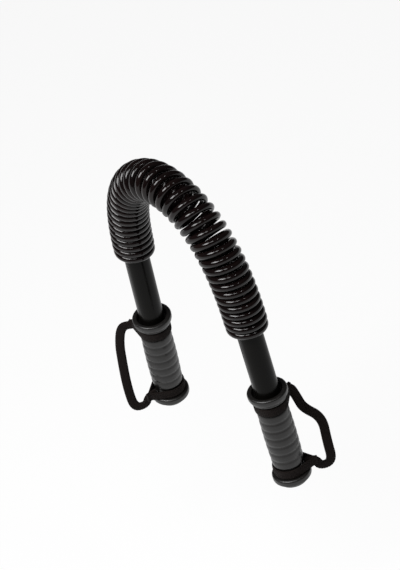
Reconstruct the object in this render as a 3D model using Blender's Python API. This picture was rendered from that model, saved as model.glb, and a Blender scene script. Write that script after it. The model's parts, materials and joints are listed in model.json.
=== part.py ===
"""A hand-held spring bar, held bent into a narrow upside-down U.

One thick steel wire is close wound into a spring between two steel tubes. A turned seat, pinned into the
inner end of each tube, sits inside the end of the spring, and the tight last turn closes behind it. Each
tube carries a guard collar, a rubber grip, a plastic end cap and a wrist strap that swivels on the grip.
Metres, +Z up. The bend lies in the XZ plane and the origin is the middle of the right-hand grip.
"""

import math

import bmesh
import bpy
import numpy as np
from mathutils import Matrix, Vector

for leftover in list(bpy.data.objects):
    bpy.data.objects.remove(leftover, do_unlink=True)

# Clearances
SEAT_GAP = 0.0003  # between pieces that touch
SLIDE_GAP = 0.0004  # between pieces that slide or turn on each other
TURN_GAP = 0.00051  # between turns on the inside of the bend, where they rock on each other

# Spring
SPRING_OUTER_D = 0.045
WIRE_D = 0.0076
END_TURNS = 4  # turns round each seat, which move with the handle
FLEX_TURNS = (6, 5, 4, 3, 4, 5, 6)  # turns of each free length, right to left
TIGHT_TURNS = 1.0  # turns at each end that close in on the tube
POINTS_PER_TURN = 10
LENGTH_GAP = 0.0004  # between the end faces of two neighbouring lengths of the wire

# Bend
BEND = math.radians(173.0)  # turn between the two handles
BEND_PEAK = 0.65  # how much sharper the middle bends than an even curve would
STRAIGHT_END = 0.0165  # spring at each end that the seat keeps straight
CURVE_STEPS = 2000

# Handle tubes
TUBE_D = 0.0265
TUBE_WALL = 0.0018
TUBE_IN_SPRING = 0.012
TUBE_SHOWING = 0.079  # from the spring's end to the guard collar's rim
TUBE_EDGE = 0.0004
TUBE_SIDES = 32

# Spring seats and their pins
SEAT_HEAD_LENGTH = 0.018
SEAT_NOSE = 0.003
SEAT_SPIGOT = 0.022
PIN_D = 0.005
PIN_DEPTH = 0.0065  # below the tube's inner end
PIN_SIDES = 16

# Guard collars
COLLAR_D = 0.0444
COLLAR_HEIGHT = 0.0125
COLLAR_MOUTH_GAP = 0.00325  # between the tube and the wall of the collar's mouth
COLLAR_MOUTH_DEPTH = 0.0065
COLLAR_MOUTH_DRAFT = 0.0006
COLLAR_WAIST_D = 0.0395
COLLAR_ROUND = 0.0024

# Rubber grips
GRIP_NECK_WALL = 0.00245  # rubber over the tube where a strap eye lies
GRIP_BARREL_WALL = 0.0037
GRIP_BARREL_SWELL = 0.0008
GRIP_BARREL = 0.077
GRIP_RIBS = 7
GRIP_GROOVE = 0.0008
GRIP_RIB_CROWN = 0.00027
GRIP_FLANGE_D = 0.0436
GRIP_FLANGE = 0.0085
GRIP_FLANGE_ROUND = 0.0022
GRIP_SIDES = 28

# End caps
CAP_D = 0.034
CAP_HEAD = 0.0042
CAP_EDGE = 0.0012
CAP_SPIGOT = 0.014
CAP_RIBS = 2
CAP_RIB_HEIGHT = 0.0004

# Wrist straps
STRAP_WIDTH = 0.0105
STRAP_THICK = 0.0038
STRAP_EDGE = 0.00133  # how far the rounding of its edges reaches in
STRAP_EYE_WALL = 0.0024
STRAP_EYE_PLAY = 0.001  # along the grip, each side of an eye
STRAP_STATIONS = 40
STRAP_EYE_SIDES = 24
STRAP_ROUNDING = 3  # how often the corners of a strap's route are cut
# How each strap lies over the back of its hand: corners of its route, as (out from the grip's axis, down
# from the upper eye), then the corners that both straps have, down from the lower eye
RIGHT_STRAP_UPPER = ((0.029, -0.001), (0.032, 0.015), (0.034, 0.030), (0.050, 0.050))
LEFT_STRAP_UPPER = ((0.029, -0.001), (0.041, 0.001), (0.0445, 0.022), (0.045, 0.045))
STRAP_LOWER = ((0.0465, -0.012), (0.046, 0.015), (0.0315, 0.015), (0.029, 0.0005))
RIGHT_STRAP_AT = math.radians(95.0)  # where the strap leaves its upper eye, from +X towards +Y
LEFT_STRAP_AT = math.radians(207.0)
RIGHT_STRAP_TURN = math.radians(-45.0)  # turn round the grip from the upper eye to the lower
LEFT_STRAP_TURN = math.radians(61.0)


# Materials

def finish(name, colour, roughness, metallic=0.0):
    """A plain Principled material."""
    material = bpy.data.materials.new(name)
    material.use_nodes = True
    shader = material.node_tree.nodes["Principled BSDF"]
    shader.inputs["Base Color"].default_value = (*colour, 1.0)
    shader.inputs["Roughness"].default_value = roughness
    shader.inputs["Metallic"].default_value = metallic
    return material


BLACK_ENAMEL = finish("black enamel", (0.012, 0.010, 0.011), 0.18)
BLACK_PAINT = finish("black paint", (0.016, 0.016, 0.017), 0.32)
BARE_STEEL = finish("bare steel", (0.46, 0.46, 0.47), 0.35, 1.0)
RUBBER = finish("black rubber", (0.020, 0.019, 0.019), 0.62)
PLASTIC = finish("black plastic", (0.022, 0.022, 0.023), 0.42)
WEBBING = finish("woven webbing", (0.030, 0.021, 0.018), 0.85)


# The bent centre line

COIL_R = (SPRING_OUTER_D - WIRE_D) / 2
TURNS = 2 * END_TURNS + sum(FLEX_TURNS)
INNER_PITCH = WIRE_D + TURN_GAP
HALF_FACET = math.pi / POINTS_PER_TURN
# Corners a little outside the true coil and flats a little inside it keep the mean size right.
CORNER_R = 2 * COIL_R / (1 + math.cos(HALF_FACET))
FLAT_R = CORNER_R * math.cos(HALF_FACET)
SPRING_LENGTH = TURNS * INNER_PITCH + BEND * FLAT_R + WIRE_D
FREE_HALF = SPRING_LENGTH / 2 - STRAIGHT_END
# Share of a turn that the wire runs straight for, one wire diameter, each side of a cut.
SQUARE_RUN = math.asin(WIRE_D / CORNER_R) / (2 * math.pi)


def heading(s):
    """Angle of the centre line below +X at a distance s right of the arch's top, measured along it."""
    along = np.clip(np.asarray(s, float) / FREE_HALF, -1.0, 1.0)
    return BEND / 2 * (along + BEND_PEAK / math.pi * np.sin(math.pi * along))


def summed(values, step):
    """Running integral of evenly spaced values."""
    return np.concatenate([[0.0], np.cumsum((values[1:] + values[:-1]) / 2) * step])


CURVE_S = np.linspace(-SPRING_LENGTH / 2, SPRING_LENGTH / 2, CURVE_STEPS + 1)
CURVE_STEP = SPRING_LENGTH / CURVE_STEPS
CURVE_X = summed(np.cos(heading(CURVE_S)), CURVE_STEP)
CURVE_Z = summed(-np.sin(heading(CURVE_S)), CURVE_STEP)

# Heights along a handle, from the spring's end downwards
GRIP_NECK = STRAP_WIDTH + 2 * STRAP_EYE_PLAY
COLLAR_FOOT = TUBE_SHOWING + COLLAR_HEIGHT
GRIP_TOP = COLLAR_FOOT + SEAT_GAP
BARREL_TOP = GRIP_TOP + GRIP_NECK
BARREL_FOOT = BARREL_TOP + GRIP_BARREL
FLANGE_TOP = BARREL_FOOT + GRIP_NECK
GRIP_FOOT = FLANGE_TOP + GRIP_FLANGE
GRIP_MIDDLE = (BARREL_TOP + BARREL_FOOT) / 2

RIGHT_DOWN = Vector((math.cos(BEND / 2), 0.0, -math.sin(BEND / 2)))
ORIGIN = Vector((CURVE_X[-1], 0.0, CURVE_Z[-1])) + RIGHT_DOWN * GRIP_MIDDLE


def centre(s):
    """A point of the spring's centre line."""
    return Vector((np.interp(s, CURVE_S, CURVE_X), 0.0, np.interp(s, CURVE_S, CURVE_Z))) - ORIGIN


def inward(s):
    """Unit vector from the centre line towards the inside of the bend."""
    angle = float(heading(s))
    return Vector((-math.sin(angle), 0.0, -math.cos(angle)))


# The wire is wound from the right end, and each turn takes one pitch on the inside of the bend.
WOUND_LENGTH = SPRING_LENGTH / 2 - WIRE_D / 2 - CURVE_S - FLAT_R * (BEND / 2 - heading(CURVE_S))
WOUND_TURNS = WOUND_LENGTH / INNER_PITCH


def along_at(turn):
    """Distance along the centre line at a number of turns from the right end."""
    return float(np.interp(-turn, -WOUND_TURNS, CURVE_S))


def coil_radius(turn):
    """Radius of the coil's corners, drawn in to the tube over the last turn at each end."""
    tight = (TUBE_D / 2 + SLIDE_GAP + WIRE_D / 2) / math.cos(HALF_FACET)
    from_end = min(turn, TURNS - turn)
    ease = min(max(from_end / TIGHT_TURNS, 0.0), 1.0)
    return tight + (CORNER_R - tight) * ease


def wire_point(turn):
    """A corner of the wire's path. Whole turns lie on the inside of the bend."""
    s = along_at(min(max(turn, 0.0), TURNS))
    angle = 2 * math.pi * turn
    radius = coil_radius(turn)
    across = Vector((0.0, radius * math.sin(angle), 0.0))
    return centre(s) + inward(s) * (radius * math.cos(angle)) + across


def wire_cut(turn):
    """Where two lengths of wire meet: the middle of the straight run inside the bend at a whole turn."""
    return (wire_point(turn - SQUARE_RUN) + wire_point(turn + SQUARE_RUN)) / 2


def bend_at(turn):
    """Heading of the centre line at a number of turns from the right end."""
    return float(heading(along_at(turn)))


def toward(start, end, distance):
    """The point a distance from start on the line to end."""
    return start + (end - start).normalized() * distance


def wire_path(first, last):
    """Corners of the wire between two whole turns, with a straight run of one wire diameter at each end."""
    facet = 0.5 / POINTS_PER_TURN
    count = POINTS_PER_TURN * (last - first)
    turns = [first + (step + 0.5) / POINTS_PER_TURN for step in range(count)]
    if first > 0:
        turns[0] = first + SQUARE_RUN
    if last < TURNS:
        turns[-1] = last - SQUARE_RUN
    path = [wire_point(turn) for turn in turns]
    if first > 0:
        path.insert(0, toward(wire_cut(first), path[0], LENGTH_GAP / 2))
    else:
        path.insert(0, toward(path[0], wire_point(-facet), WIRE_D))
    if last < TURNS:
        path.append(toward(wire_cut(last), path[-1], LENGTH_GAP / 2))
    else:
        path.append(toward(path[-1], wire_point(last + facet), WIRE_D))
    return path


# Shape builders

def place(obj, material, parent=None):
    """Gives the object its material and parent."""
    obj.data.materials.append(material)
    obj.parent = parent
    return obj


def smooth(mesh, sharp=math.radians(38.0)):
    """Shades round faces smooth and keeps corners sharp."""
    mesh.shade_smooth()
    mesh.set_sharp_from_angle(angle=sharp)


def tube_along(name, path, diameter, material):
    """A round wire along a path, with filled ends."""
    curve = bpy.data.curves.new(name, "CURVE")
    curve.dimensions = "3D"
    curve.bevel_depth = diameter / 2
    curve.bevel_resolution = 1
    curve.use_fill_caps = True
    spline = curve.splines.new("POLY")
    spline.points.add(len(path) - 1)
    for point, place_at in zip(spline.points, path):
        point.co = (*place_at, 1.0)
    wire = bpy.data.objects.new(name, curve)
    bpy.context.scene.collection.objects.link(wire)
    return place(wire, material)


def turned(name, profile, sides, material, parent):
    """A turned piece: a closed outline of (radius, height) points, spun round Z."""
    mesh = bpy.data.meshes.new(name)
    shape = bmesh.new()
    ring = [shape.verts.new((radius, 0.0, height)) for radius, height in profile]
    edges = [shape.edges.new(pair) for pair in zip(ring, ring[1:] + ring[:1])]
    edges = [edge for edge in edges if max(vert.co.x for vert in edge.verts) > 0]
    bmesh.ops.spin(shape, geom=ring + edges, cent=(0, 0, 0), axis=(0, 0, 1), angle=2 * math.pi, steps=sides)
    bmesh.ops.remove_doubles(shape, verts=shape.verts, dist=1e-6)
    bmesh.ops.delete(shape, geom=[edge for edge in shape.edges if not edge.link_faces], context="EDGES")
    bmesh.ops.recalc_face_normals(shape, faces=shape.faces)
    shape.to_mesh(mesh)
    shape.free()
    smooth(mesh)
    piece = bpy.data.objects.new(name, mesh)
    bpy.context.scene.collection.objects.link(piece)
    return place(piece, material, parent)


def rounded(radius, height, side, blend, steps=3):
    """Points of a rounded outer corner, going down: side is 1 at a top edge and -1 at a bottom one."""
    points = []
    for step in range(steps + 1):
        angle = math.pi / 2 * step / steps
        out, up = (math.sin(angle), math.cos(angle)) if side > 0 else (math.cos(angle), math.sin(angle))
        points.append((radius - blend + blend * out, height + side * blend * (up - 1)))
    return points


def cross_pin(name, diameter, length, height, parent):
    """A round rod along Y, centred on the handle's axis."""
    mesh = bpy.data.meshes.new(name)
    shape = bmesh.new()
    bmesh.ops.create_cone(
        shape, cap_ends=True, segments=PIN_SIDES, radius1=diameter / 2, radius2=diameter / 2, depth=length
    )
    bmesh.ops.rotate(shape, verts=shape.verts, cent=(0, 0, 0), matrix=Matrix.Rotation(math.pi / 2, 3, "X"))
    shape.to_mesh(mesh)
    shape.free()
    smooth(mesh)
    rod = bpy.data.objects.new(name, mesh)
    bpy.context.scene.collection.objects.link(rod)
    rod.parent = parent
    rod.location = (0.0, 0.0, height)
    return rod


def combine(target, other, operation):
    """A Boolean with a helper object, which isn't drawn."""
    other.hide_render = True
    other.display_type = "WIRE"
    cut = target.modifiers.new(other.name, "BOOLEAN")
    cut.operation = operation
    cut.solver = "EXACT"
    cut.object = other


# The spring

def build_spring():
    """The wire in lengths that hinge on each other, and a print of the least gap between its turns."""
    counts = (END_TURNS, *FLEX_TURNS, END_TURNS)
    free = [f"spring_length_{number}" for number in range(1, len(FLEX_TURNS) + 1)]
    names = ["spring_right_end", *free, "spring_left_end"]
    first = 0
    corners, bends, pivots = [], [], []
    for name, count in zip(names, counts):
        path = wire_path(first, first + count)
        tube_along(name, path, WIRE_D, BLACK_ENAMEL)
        corners += path[1:-1]
        first += count
        bends.append(math.degrees(bend_at(first - count) - bend_at(first)))
        if first < TURNS:
            pivots.append(wire_cut(first))
    bends[0] *= 2
    bends[-1] *= 2
    for number, (pivot, before, after) in enumerate(zip(pivots, bends, bends[1:]), 1):
        opening = (before + after) / 2
        print(f"spring hinge {number}:", [round(value, 5) for value in pivot], "opens", round(opening, 3))
    print("least gap between turns, mm:", round(least_gap(corners) * 1000, 3))


def least_gap(corners):
    """Least distance between the wire's surfaces more than half a turn apart, point to segment."""
    points = np.array([list(corner) for corner in corners])
    starts, steps = points[:-1], np.diff(points, axis=0)
    lengths = (steps**2).sum(axis=1)
    nearest = math.inf
    for index, point in enumerate(points):
        fraction = np.clip(((point - starts) * steps).sum(axis=1) / lengths, 0.0, 1.0)
        distance = np.linalg.norm(starts + steps * fraction[:, None] - point, axis=1)
        near = np.abs(np.arange(len(starts)) - index) < POINTS_PER_TURN / 2
        nearest = min(nearest, distance[~near].min())
    return nearest - WIRE_D


# Handles

def handle_axis(side):
    """An empty at the spring's end, with +Z up the handle towards the spring."""
    s = SPRING_LENGTH / 2 * side
    down = Vector((math.cos(BEND / 2) * side, 0.0, -math.sin(BEND / 2)))
    up = -down
    across = Vector((0.0, 1.0, 0.0)).cross(up)
    frame = Matrix((across, (0.0, 1.0, 0.0), up)).transposed().to_4x4()
    frame.translation = centre(s)
    empty = bpy.data.objects.new("right_handle_axis" if side > 0 else "left_handle_axis", None)
    bpy.context.scene.collection.objects.link(empty)
    empty.matrix_world = frame
    return empty


def build_tube(side, axis):
    """The steel handle tube, from inside the spring to the end cap, drilled for the seat's pin."""
    outer, inner = TUBE_D / 2, TUBE_D / 2 - TUBE_WALL
    top, foot = TUBE_IN_SPRING, -GRIP_FOOT
    outline = [
        (inner, top), (outer - TUBE_EDGE, top), (outer, top - TUBE_EDGE),
        (outer, foot + TUBE_EDGE), (outer - TUBE_EDGE, foot), (inner, foot),
    ]
    tube = turned(f"{side}_handle_tube", outline, TUBE_SIDES, BLACK_PAINT, axis)
    hole = cross_pin(f"{side}_tube_hole", PIN_D + 2 * SEAT_GAP, TUBE_D * 2, top - PIN_DEPTH, axis)
    combine(tube, hole, "DIFFERENCE")


def build_seat(side, axis):
    """The turned plug that the spring is wound on to, with its spigot in the tube and a cross pin."""
    spigot = TUBE_D / 2 - TUBE_WALL - SEAT_GAP
    head = FLAT_R - WIRE_D / 2 - SLIDE_GAP
    shoulder = TUBE_IN_SPRING + SEAT_GAP
    nose = shoulder + SEAT_HEAD_LENGTH
    outline = [
        (0.0, nose), (head - SEAT_NOSE, nose), (head, nose - SEAT_NOSE),
        (head, shoulder + TUBE_EDGE), (head - TUBE_EDGE, shoulder), (spigot, shoulder),
        (spigot, TUBE_IN_SPRING - SEAT_SPIGOT + TUBE_EDGE),
        (spigot - TUBE_EDGE, TUBE_IN_SPRING - SEAT_SPIGOT), (0.0, TUBE_IN_SPRING - SEAT_SPIGOT),
    ]
    seat = turned(f"{side}_spring_seat", outline, TUBE_SIDES, BARE_STEEL, axis)
    height = TUBE_IN_SPRING - PIN_DEPTH
    hole = cross_pin(f"{side}_seat_hole", PIN_D + 2 * SEAT_GAP, TUBE_D * 2, height, axis)
    combine(seat, hole, "DIFFERENCE")
    pin = cross_pin(f"{side}_seat_pin", PIN_D, TUBE_D - 2 * TUBE_EDGE, height, axis)
    pin.data.materials.append(BARE_STEEL)


def build_collar(side, axis):
    """The flared rubber guard at the top of the grip, whose mouth is wider than the tube."""
    bore = TUBE_D / 2 + SEAT_GAP
    rim, foot = -TUBE_SHOWING, -COLLAR_FOOT
    mouth = TUBE_D / 2 + COLLAR_MOUTH_GAP
    outline = [
        (bore, rim - COLLAR_MOUTH_DEPTH), (mouth - COLLAR_MOUTH_DRAFT, rim - COLLAR_MOUTH_DEPTH),
        (mouth, rim - COLLAR_ROUND), (mouth + COLLAR_ROUND / 2, rim),
        *rounded(COLLAR_D / 2, rim, 1, COLLAR_ROUND),
        (COLLAR_D / 2, rim - COLLAR_HEIGHT / 2),
        *rounded(COLLAR_WAIST_D / 2, foot, -1, COLLAR_ROUND, 2),
        (bore, foot),
    ]
    turned(f"{side}_guard_collar", outline, GRIP_SIDES, RUBBER, axis)


def grip_outline():
    """Outline of the grip: neck, ribbed barrel, neck and flange."""
    bore = TUBE_D / 2 + SEAT_GAP
    neck, barrel = bore + GRIP_NECK_WALL, bore + GRIP_BARREL_WALL
    outline = [(bore, -GRIP_TOP), (neck, -GRIP_TOP), (neck, -BARREL_TOP + GRIP_GROOVE)]
    rib = GRIP_BARREL / GRIP_RIBS
    for index in range(GRIP_RIBS):
        top = -BARREL_TOP - rib * index
        for share in (0.0, 0.5, 1.0):
            swell = GRIP_BARREL_SWELL * math.sin(math.pi * (index + share) / GRIP_RIBS)
            depth = 0.0 if share == 0.5 else GRIP_RIB_CROWN
            inset = {0.0: GRIP_GROOVE, 0.5: rib / 2, 1.0: rib - GRIP_GROOVE}[share]
            outline.append((barrel + swell - depth, top - inset))
        if index < GRIP_RIBS - 1:
            outline.append((barrel - GRIP_GROOVE, top - rib))
    flange = GRIP_FLANGE_D / 2
    outline += [(neck, -BARREL_FOOT - GRIP_GROOVE), (neck, -FLANGE_TOP)]
    outline += rounded(flange, -FLANGE_TOP, 1, GRIP_FLANGE_ROUND)
    outline += rounded(flange, -GRIP_FOOT, -1, GRIP_FLANGE_ROUND)
    return outline + [(bore, -GRIP_FOOT)]


def build_cap(side, axis):
    """The plastic plug that closes the tube: a flat head and a spigot with holding ribs."""
    spigot = TUBE_D / 2 - TUBE_WALL - SEAT_GAP - CAP_RIB_HEIGHT
    top = -GRIP_FOOT - SEAT_GAP
    foot = top - CAP_HEAD
    outline = [(0.0, foot), (CAP_D / 2 - CAP_EDGE, foot), (CAP_D / 2, foot + CAP_EDGE), (CAP_D / 2, top)]
    outline.append((spigot, top))
    step = CAP_SPIGOT / (CAP_RIBS + 1)
    for index in range(1, CAP_RIBS + 1):
        height = top + step * index
        crest = (spigot + CAP_RIB_HEIGHT, height)
        outline += [(spigot, height - step / 3), crest, (spigot, height + step / 5)]
    outline += [(spigot - CAP_EDGE, top + CAP_SPIGOT), (0.0, top + CAP_SPIGOT)]
    turned(f"{side}_end_cap", outline[::-1], TUBE_SIDES, PLASTIC, axis)


# Straps

UPPER_EYE = GRIP_TOP + GRIP_NECK / 2
LOWER_EYE = FLANGE_TOP - GRIP_NECK / 2
EYE_INNER = TUBE_D / 2 + SEAT_GAP + GRIP_NECK_WALL + SLIDE_GAP
EYE_R = EYE_INNER + STRAP_EYE_WALL / 2


def strap_route(upper):
    """(reach, drop, share) along a strap from eye to eye, with its corners cut until it is smooth."""
    corners = [(EYE_R, UPPER_EYE)]
    corners += [(reach, UPPER_EYE + drop) for reach, drop in upper]
    corners += [(reach, LOWER_EYE + drop) for reach, drop in STRAP_LOWER]
    corners.append((EYE_R, LOWER_EYE))
    points = np.array(corners)
    for _ in range(STRAP_ROUNDING):
        starts, ends = points[:-1], points[1:]
        cuts = np.stack([0.75 * starts + 0.25 * ends, 0.25 * starts + 0.75 * ends], axis=1)
        points = np.vstack([points[:1], cuts.reshape(-1, 2), points[-1:]])
    lengths = np.concatenate([[0.0], np.cumsum(np.linalg.norm(np.diff(points, axis=0), axis=1))])
    samples = np.linspace(0.0, lengths[-1], STRAP_STATIONS)
    reach = np.interp(samples, lengths, points[:, 0])
    drop = np.interp(samples, lengths, points[:, 1])
    return reach, drop, samples / lengths[-1]


def strap_section():
    """Corners of the webbing's flat oval section, as (across the width, through the thickness)."""
    half_width, half_thick = STRAP_WIDTH / 2, STRAP_THICK / 2
    flat, edge = half_width - STRAP_EDGE, half_thick - STRAP_EDGE
    return [
        (half_width, -edge), (half_width, edge), (flat, half_thick), (-flat, half_thick),
        (-half_width, edge), (-half_width, -edge), (-flat, -half_thick), (flat, -half_thick),
    ]


def build_strap(side, axis, upper, leaves_at, turn):
    """The tubular webbing strap with an eye sewn round each neck of the grip."""
    reach, drop, share = strap_route(upper)
    angles = leaves_at + turn * share
    path = [Vector((r * math.cos(a), r * math.sin(a), -d)) for r, d, a in zip(reach, drop, angles)]
    shape = bmesh.new()
    rings = []
    for index, point in enumerate(path):
        ahead = path[min(index + 1, len(path) - 1)] - path[max(index - 1, 0)]
        thick = Vector((-math.sin(angles[index]), math.cos(angles[index]), 0.0))
        thick = (thick - ahead * thick.dot(ahead) / ahead.length_squared).normalized()
        wide = ahead.cross(thick).normalized()
        rings.append([shape.verts.new(point + wide * w + thick * t) for w, t in strap_section()])
    for ring, following in zip(rings, rings[1:]):
        for corner in range(len(ring)):
            after = (corner + 1) % len(ring)
            shape.faces.new((ring[corner], ring[after], following[after], following[corner]))
    shape.faces.new(rings[0][::-1])
    shape.faces.new(rings[-1])
    bmesh.ops.recalc_face_normals(shape, faces=shape.faces)
    mesh = bpy.data.meshes.new(f"{side}_wrist_strap")
    shape.to_mesh(mesh)
    shape.free()
    smooth(mesh)
    strap = bpy.data.objects.new(f"{side}_wrist_strap", mesh)
    bpy.context.scene.collection.objects.link(strap)
    place(strap, WEBBING, axis)
    for eye_name, eye_drop in (("upper", UPPER_EYE), ("lower", LOWER_EYE)):
        outer = EYE_INNER + STRAP_EYE_WALL
        high, low = -eye_drop + STRAP_WIDTH / 2, -eye_drop - STRAP_WIDTH / 2
        outline = [(EYE_INNER, high), (outer, high), (outer, low), (EYE_INNER, low)]
        eye = turned(f"{side}_{eye_name}_eye", outline, STRAP_EYE_SIDES, WEBBING, axis)
        combine(strap, eye, "UNION")


def build_handle(side, direction, *strap):
    """All pieces of one handle, on the handle's axis."""
    axis = handle_axis(direction)
    build_tube(side, axis)
    build_seat(side, axis)
    build_collar(side, axis)
    turned(f"{side}_hand_grip", grip_outline(), GRIP_SIDES, RUBBER, axis)
    build_cap(side, axis)
    build_strap(side, axis, *strap)


build_spring()
build_handle("right", 1, RIGHT_STRAP_UPPER, RIGHT_STRAP_AT, RIGHT_STRAP_TURN)
build_handle("left", -1, LEFT_STRAP_UPPER, LEFT_STRAP_AT, LEFT_STRAP_TURN)
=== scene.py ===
"""A spring bar bent into a narrow upside-down U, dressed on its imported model.

Metres, +Z up. The bend lies in the XZ plane and the origin is the middle of the right grip.
"""

import math

import bpy
import numpy as np
from mathutils import Euler, Matrix, Vector
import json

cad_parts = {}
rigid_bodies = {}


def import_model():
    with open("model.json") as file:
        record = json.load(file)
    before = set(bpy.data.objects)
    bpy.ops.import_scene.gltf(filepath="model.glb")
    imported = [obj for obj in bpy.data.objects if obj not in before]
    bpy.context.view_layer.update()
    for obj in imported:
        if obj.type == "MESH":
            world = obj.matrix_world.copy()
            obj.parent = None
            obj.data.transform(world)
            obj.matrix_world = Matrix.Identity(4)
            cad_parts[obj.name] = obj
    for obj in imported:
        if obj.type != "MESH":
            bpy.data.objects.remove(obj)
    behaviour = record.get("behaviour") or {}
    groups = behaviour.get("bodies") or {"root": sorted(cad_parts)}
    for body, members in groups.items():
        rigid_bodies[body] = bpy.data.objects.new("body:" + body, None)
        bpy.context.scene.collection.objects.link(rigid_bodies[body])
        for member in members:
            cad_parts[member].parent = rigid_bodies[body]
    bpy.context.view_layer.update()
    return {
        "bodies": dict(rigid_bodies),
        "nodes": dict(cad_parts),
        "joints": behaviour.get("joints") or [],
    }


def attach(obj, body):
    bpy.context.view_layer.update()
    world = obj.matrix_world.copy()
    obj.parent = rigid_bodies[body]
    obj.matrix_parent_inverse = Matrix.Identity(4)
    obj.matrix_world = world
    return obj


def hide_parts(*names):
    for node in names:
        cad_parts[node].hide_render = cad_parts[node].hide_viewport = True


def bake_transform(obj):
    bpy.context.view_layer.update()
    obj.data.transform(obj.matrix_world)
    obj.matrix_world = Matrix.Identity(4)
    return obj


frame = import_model()

for leftover in set(bpy.data.objects) - set(frame["nodes"].values()) - set(frame["bodies"].values()):
    bpy.data.objects.remove(leftover, do_unlink=True)


# Camera
# The bar is seen from its right end, from above and a little in front, through a long lens that keeps
# its two legs nearly parallel.

CAMERA_AT = (1.6303, -0.9918, 1.7337)
CAMERA_TURN = (50.64, 12.02, 50.21)  # degrees
CAMERA_LENS = 151.6  # mm, on a picture 36 mm high

camera_data = bpy.data.cameras.new("camera")
camera_data.sensor_width = 36.0
camera_data.lens = CAMERA_LENS
camera_data.clip_end = 30.0
camera = bpy.data.objects.new("camera", camera_data)
camera.location = CAMERA_AT
camera.rotation_euler = Euler([math.radians(turn) for turn in CAMERA_TURN], "XYZ")
bpy.context.scene.collection.objects.link(camera)
bpy.context.scene.camera = camera


# Handle tubes
# Each handle is a length of drawn steel tube, deburred at both ends and cross drilled near its upper
# end for the pin of the spring seat. It is sprayed semi-gloss black before the rubber goes on.

TUBE_D = 0.0278
TUBE_WALL = 0.0024
TUBE_TOP = 0.1628  # above the middle of the grip
TUBE_FOOT = -0.0595
TUBE_EDGE = 0.0005
TUBE_SIDES = 96
PIN_HOLE_D = 0.0056
PIN_HOLE_AT = 0.1483
PIN_HOLE_SIDES = 32

joints = {joint["name"]: joint for joint in frame["joints"]}


def handle_frame(side):
    """Where a handle stands: the middle of its grip, with +Z up the handle towards the spring."""
    swivel = joints[f"{side}_strap_swivel"]
    up = Vector(swivel["axis"]).normalized()
    across = Vector((0.0, 1.0, 0.0)).cross(up)
    turn = Matrix((across, (0.0, 1.0, 0.0), up)).transposed().to_4x4()
    return Matrix.Translation(swivel["pos_m"]) @ turn


def work_on(piece):
    """Makes a piece the only one selected."""
    for each in bpy.context.view_layer.objects:
        each.select_set(False)
    if piece:
        bpy.context.view_layer.objects.active = piece
        piece.select_set(True)


def turned(name, outline, sides):
    """A piece spun round Z from a closed outline of (radius, height) points, extruded from one point."""
    work_on(None)
    radius, height = outline[0]
    bpy.ops.mesh.primitive_plane_add(size=0.001, location=(radius, 0.0, height))
    piece = bpy.context.object
    piece.name = piece.data.name = name
    bpy.ops.object.transform_apply(location=True, rotation=True, scale=True)
    bpy.ops.object.mode_set(mode="EDIT")
    bpy.ops.mesh.select_all(action="SELECT")
    bpy.ops.mesh.merge(type="CENTER")
    for here, after in zip(outline, outline[1:] + outline[:1]):
        step = (after[0] - here[0], 0.0, after[1] - here[1])
        bpy.ops.mesh.extrude_vertices_move(TRANSFORM_OT_translate={"value": step})
    bpy.ops.mesh.select_all(action="SELECT")
    bpy.ops.mesh.remove_doubles(threshold=1e-6)
    bpy.ops.mesh.spin(steps=sides, angle=2 * math.pi, center=(0, 0, 0), axis=(0, 0, 1))
    bpy.ops.mesh.select_all(action="SELECT")
    bpy.ops.mesh.remove_doubles(threshold=2e-6)
    bpy.ops.mesh.delete_loose()
    bpy.ops.mesh.select_all(action="SELECT")
    bpy.ops.mesh.normals_make_consistent(inside=False)
    bpy.ops.object.mode_set(mode="OBJECT")
    return piece


def round_corner(radius, height, blend, start, sweep, steps=5):
    """Points of an arc about (radius, height), from an angle in degrees through a sweep."""
    angles = [math.radians(start + sweep * step / steps) for step in range(steps + 1)]
    return [(radius + blend * math.cos(angle), height + blend * math.sin(angle)) for angle in angles]


def apply_modifiers(piece):
    """Applies every modifier of a piece, in order."""
    work_on(piece)
    for modifier in list(piece.modifiers):
        bpy.ops.object.modifier_apply(modifier=modifier.name)


def smooth(piece, angle=35.0):
    """Shades a piece smooth apart from corners sharper than an angle in degrees."""
    work_on(piece)
    bpy.ops.object.shade_smooth_by_angle(angle=math.radians(angle))


def settle(piece, place, material):
    """Puts a piece made at the origin in its place and gives it its finish."""
    work_on(piece)
    piece.matrix_world = place
    bpy.ops.object.transform_apply(location=True, rotation=True, scale=True)
    piece.data.materials.clear()
    piece.data.materials.append(material)


def principled(name, colour, roughness, metallic=0.0):
    """A material, its node tree and its Principled BSDF."""
    material = bpy.data.materials.new(name)
    material.use_nodes = True
    tree = material.node_tree
    shader = tree.nodes["Principled BSDF"]
    shader.inputs["Base Color"].default_value = (*colour, 1.0)
    shader.inputs["Roughness"].default_value = roughness
    shader.inputs["Metallic"].default_value = metallic
    return material, tree, shader


def add_node(tree, kind, settings=(), **inputs):
    """A node with its settings and its inputs, each a value or the socket that feeds it."""
    node = tree.nodes.new(kind)
    for name, value in dict(settings).items():
        setattr(node, name, value)
    for name, value in inputs.items():
        socket = node.inputs[int(name[1:])] if name[0] == "i" and name[1:].isdigit() else node.inputs[name]
        if isinstance(value, bpy.types.NodeSocket):
            tree.links.new(value, socket)
        else:
            socket.default_value = value
    return node


def noise(tree, vector, scale, detail=2.0, rough=0.5):
    """A noise texture's grey output."""
    node = add_node(tree, "ShaderNodeTexNoise", Vector=vector, Scale=scale, Detail=detail, Roughness=rough)
    return node.outputs["Fac"]


def remap(tree, value, low, high, to_low, to_high):
    """A value moved from one range to another, held at its ends."""
    node = add_node(tree, "ShaderNodeMapRange", i0=value, i1=low, i2=high, i3=to_low, i4=to_high)
    return node.outputs["Result"]


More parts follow.
